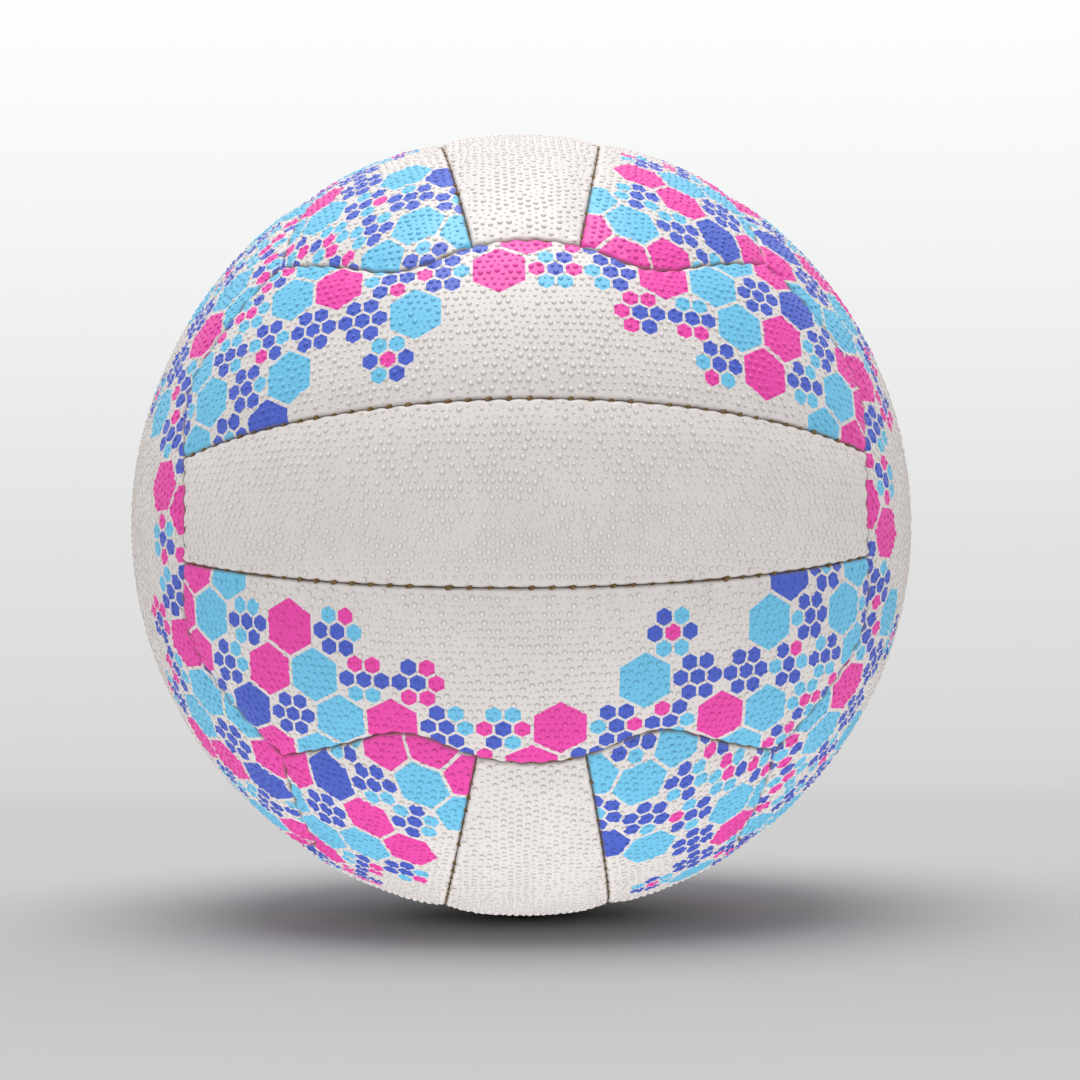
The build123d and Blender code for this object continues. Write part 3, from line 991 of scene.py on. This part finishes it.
# studio in metres: a pale floor, lit like a light table, that sweeps up behind the ball, and a soft lamp
# above; seen gives the floor's colours by the way back and up
studio = {
    "halfWidth": 4.0,
    "nearEdge": -4.0,
    "bendStart": 0.7,
    "bendRadius": 1.2,
    "wallTop": 4.0,
    "sweepPoints": 48,
    "roughness": 0.9,
    "ior": 1.4,
    "table": 1.42,
    "tableFar": 0.72,
    "tableFull": 0.12,
    "tableEnd": 0.5,
    "tableDepth": 1.5,   # rays that have turned more often than this find the floor unlit
    "seen": ((-0.375, "#adadad"), (-0.11, "#bcbcbc"), (0.55, "#d3d3d3"),
             (1.43, "#e2e2e2"), (2.58, "#fdfefe")),
    "glowFrom": 0.0,
    "glowFull": 0.6,
    "farFrom": 0.45,
    "farShare": 0.7,
    "sky": 0.58,
    "lamp": {"place": (-0.06, -0.3, 1.35), "size": 1.2, "watts": 15.8},
}


def seenDirectly(tree):
    # 1 for rays that show the stage itself, straight or in a gloss or a glass, 0 for rays that gather light
    light = add(tree, "LightPath").outputs
    seen = calc(tree, "MAXIMUM", light["Is Camera Ray"], light["Is Glossy Ray"])
    return calc(tree, "MAXIMUM", seen, light["Is Transmission Ray"])


def opalAcrylic():
    # matt pale acrylic: seen directly it runs from grey in front to white high up, where it glows by itself;
    # straight onto the ball it throws the soft light of a lit table
    name = "opal acrylic sweep, matt"
    material, tree, shader, place = newMaterial(name, studio["roughness"], studio["ior"])
    split = add(tree, "SeparateXYZ", {0: place}).outputs
    rise = calc(tree, "ADD", split["Y"], split["Z"])
    # on the other sides the distance from the ball takes the place of the rise
    level = vectorCalc(tree, "MULTIPLY", place, (1, 1, 0))
    away = vectorCalc(tree, "LENGTH", level)
    share = studio["farShare"]
    level = calc(tree, "MULTIPLY_ADD", away, share, -studio["farFrom"] * share)
    rise = calc(tree, "MAXIMUM", rise, level)
    first, last = studio["seen"][0][0], studio["seen"][-1][0]
    fade = add(tree, "MapRange", {"Value": rise, 1: first, 2: last}).outputs[0]
    seen = add(tree, "ValToRGB", {"Fac": fade})
    setStops(seen.color_ramp, [((way - first) / (last - first), colour) for way, colour in studio["seen"]])
    direct = seenDirectly(tree)
    glow = add(tree, "MapRange", {"Value": rise, 1: studio["glowFrom"], 2: studio["glowFull"]},
               interpolation_type="SMOOTHSTEP").outputs[0]
    glow = calc(tree, "MULTIPLY", glow, direct)
    own = add(tree, "Emission", {"Color": seen.outputs["Color"]}).outputs[0]
    mixed = add(tree, "MixShader", {0: glow, 1: shader.outputs[0], 2: own}).outputs[0]
    # the table is brightest under the ball and fades towards its edge
    lit = add(tree, "MapRange", {"Value": away, 1: studio["tableFull"], 2: studio["tableEnd"],
                                 3: studio["table"], 4: studio["tableFar"]}).outputs[0]
    table = add(tree, "Emission", {"Strength": lit}).outputs[0]
    depth = add(tree, "LightPath").outputs["Ray Depth"]
    later = calc(tree, "GREATER_THAN", depth, studio["tableDepth"])
    matt = calc(tree, "MAXIMUM", direct, later)
    mixed = add(tree, "MixShader", {0: matt, 1: table, 2: mixed}).outputs[0]
    tree.links.new(seen.outputs["Color"], shader.inputs["Base Color"])
    shader.inputs["Specular IOR Level"].default_value = 0.0
    tree.links.new(mixed, tree.nodes["Material Output"].inputs["Surface"])
    return material


def makeFloor():
    # profile carried sideways: flat, a quarter circle up, then upright
    turn = np.linspace(0, math.pi / 2, studio["sweepPoints"])
    y = studio["bendStart"] + studio["bendRadius"] * np.sin(turn)
    z = studio["bendRadius"] * (1 - np.cos(turn))
    y = np.concatenate([[studio["nearEdge"]], y, [y[-1]]])
    z = np.concatenate([[0.0], z, [studio["wallTop"]]]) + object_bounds()[0].z   # under the lowest pebble
    x = np.array([-studio["halfWidth"], studio["halfWidth"]])
    vertices = np.stack([np.repeat(x, len(y)), np.tile(y, 2), np.tile(z, 2)], axis=-1) / mm
    i = np.arange(len(y) - 1)
    quads = np.stack([i, i + len(y), i + len(y) + 1, i + 1], axis=1)
    floor = putMesh("studio_floor", vertices, [quads])
    floor.data.materials.append(opalAcrylic())


def makeLight():
    world = bpy.data.worlds.new("studio")
    scene.world = world
    world.use_nodes = True
    # seen directly the sky is as white as the top of the sweep; as light it has its own level
    tree = world.node_tree
    colour = blend(tree, seenDirectly(tree), (*[studio["sky"]] * 3, 1.0), studio["seen"][-1][1])
    tree.links.new(colour, tree.nodes["Background"].inputs["Color"])
    lamp = studio["lamp"]
    data = bpy.data.lights.new("overhead", "AREA")
    data.shape = "DISK"
    data.size = lamp["size"]
    data.energy = lamp["watts"]
    back = unit(np.array(lamp["place"]))
    side = unit(np.cross((0, 0, 1), back))
    light = putInView("overhead", data, side, np.cross(back, side), back, lamp["place"])
    light.visible_camera = False   # the lamp stays out of the picture from every side


placeCamera()
makeFloor()
makeLight()
print("camera, floor and light placed")

scene.view_settings.view_transform = "Standard"
